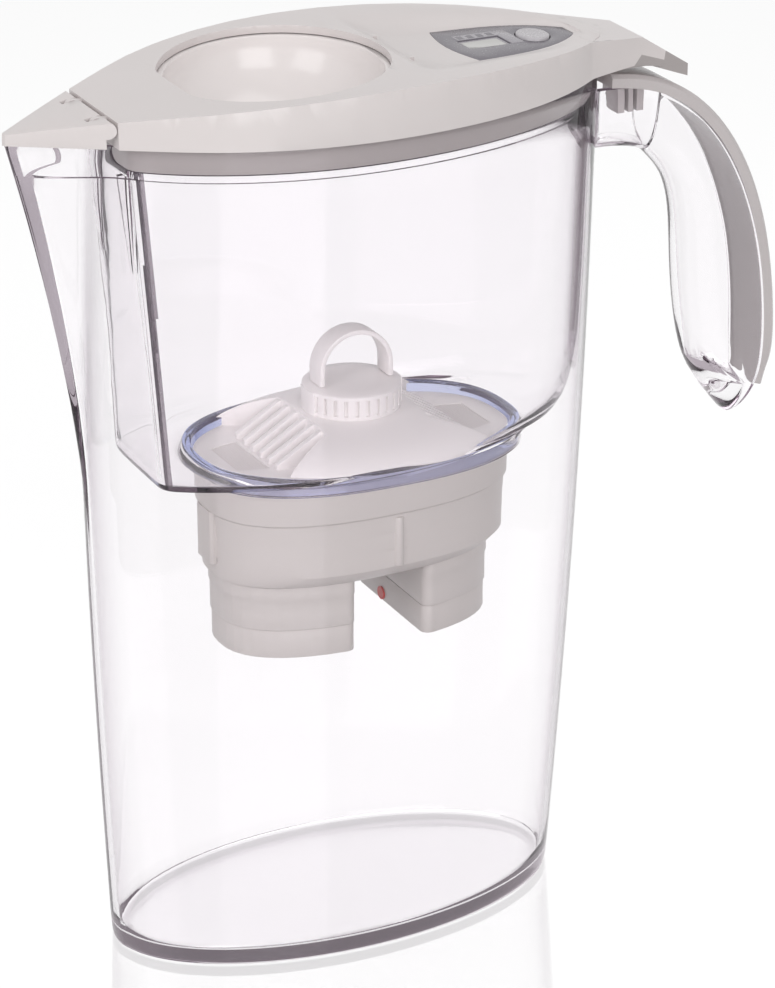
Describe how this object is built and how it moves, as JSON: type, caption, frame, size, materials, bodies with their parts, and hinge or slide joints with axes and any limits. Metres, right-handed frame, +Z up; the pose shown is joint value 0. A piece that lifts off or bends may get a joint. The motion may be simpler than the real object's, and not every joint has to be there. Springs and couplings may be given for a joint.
{
  "type": "water filter pitcher",
  "caption": "Oval clear pitcher with a lift-out hopper and filter cartridge, under a lid with a tilting filling bowl, a display and a hinged spout cover.",
  "frame": {"origin": "centre of the jug's foot, on the table", "axes": "+Z up, +X towards the handle, -X towards the spout, -Y the near side in the picture"},
  "size_m": [0.2396, 0.0842, 0.2636],
  "materials": {
    "clear_jug": "clear injection-moulded styrene plastic, polished",
    "grip_strip": "light grey moulded plastic with a satin gloss",
    "clear_hopper": "clear injection-moulded styrene plastic, polished",
    "seal": "soft bluish elastomer ring",
    "cartridge_shell": "warm white moulded polypropylene, satin",
    "marker": "red moulded dot, satin",
    "mesh": "fine pale filter mesh",
    "lid": "light warm grey moulded plastic, soft gloss",
    "panel": "dark grey moulded plastic, glossy",
    "window": "grey display behind a clear window, glossy",
    "button": "grey moulded plastic, soft gloss",
    "board": "green laminate board",
    "cell": "plain steel can",
    "pins": "drawn stainless pin",
    "spring": "coiled spring wire"
  },
  "bodies": {
    "jug": {"jug_shell": "clear_jug", "handle_grip": "clear_jug", "handle_strip": "grip_strip"},
    "hopper": {"hopper_tub": "clear_hopper", "opening_seal": "seal"},
    "cartridge": {"cartridge_body": "cartridge_shell", "leg_base_front": "cartridge_shell", "leg_base_rear": "cartridge_shell", "flow_marker": "marker", "cartridge_dome": "cartridge_shell", "inlet_mesh_front": "mesh", "inlet_mesh_rear": "mesh", "knob_cap": "cartridge_shell", "carrying_loop": "cartridge_shell"},
    "lid": {"lid_shell": "lid", "display_panel": "panel", "display_window": "window", "display_board": "board", "coin_cell": "cell"},
    "button": {"reset_button": "button"},
    "cover": {"spout_cover": "lid", "cover_pin_left": "pins", "cover_pin_right": "pins"},
    "bowl": {"filling_bowl": "lid", "bowl_pin": "pins", "bowl_spring": "spring"}
  },
  "joints": [
    {"name": "hopper_lift", "type": "slide", "parent": "jug", "child": "hopper", "axis": [0, 0, 1], "range_m": [0, 0.12]},
    {"name": "cartridge_lift", "type": "slide", "parent": "hopper", "child": "cartridge", "axis": [0, 0, 1], "range_m": [0, 0.02]},
    {"name": "lid_lift", "type": "slide", "parent": "hopper", "child": "lid", "axis": [0, 0, 1], "range_m": [0, 0.1]},
    {"name": "spout_cover_hinge", "type": "hinge", "parent": "lid", "child": "cover", "pos_m": [-0.0724, 0, 0.25526], "axis": [0, 1, 0], "range_deg": [0, 70]},
    {"name": "bowl_hinge", "type": "hinge", "parent": "lid", "child": "bowl", "pos_m": [0.0186, 0, 0.25459], "axis": [0, -1, 0], "range_deg": [0, 50], "stiffness_Nm_per_rad": 0.01, "springref_deg": -40.11},
    {"name": "button_press", "type": "slide", "parent": "lid", "child": "button", "axis": [0, 0, -1], "range_m": [0, 0.0006], "stiffness_N_per_m": 400, "springref_m": -0.0015}
  ]
}
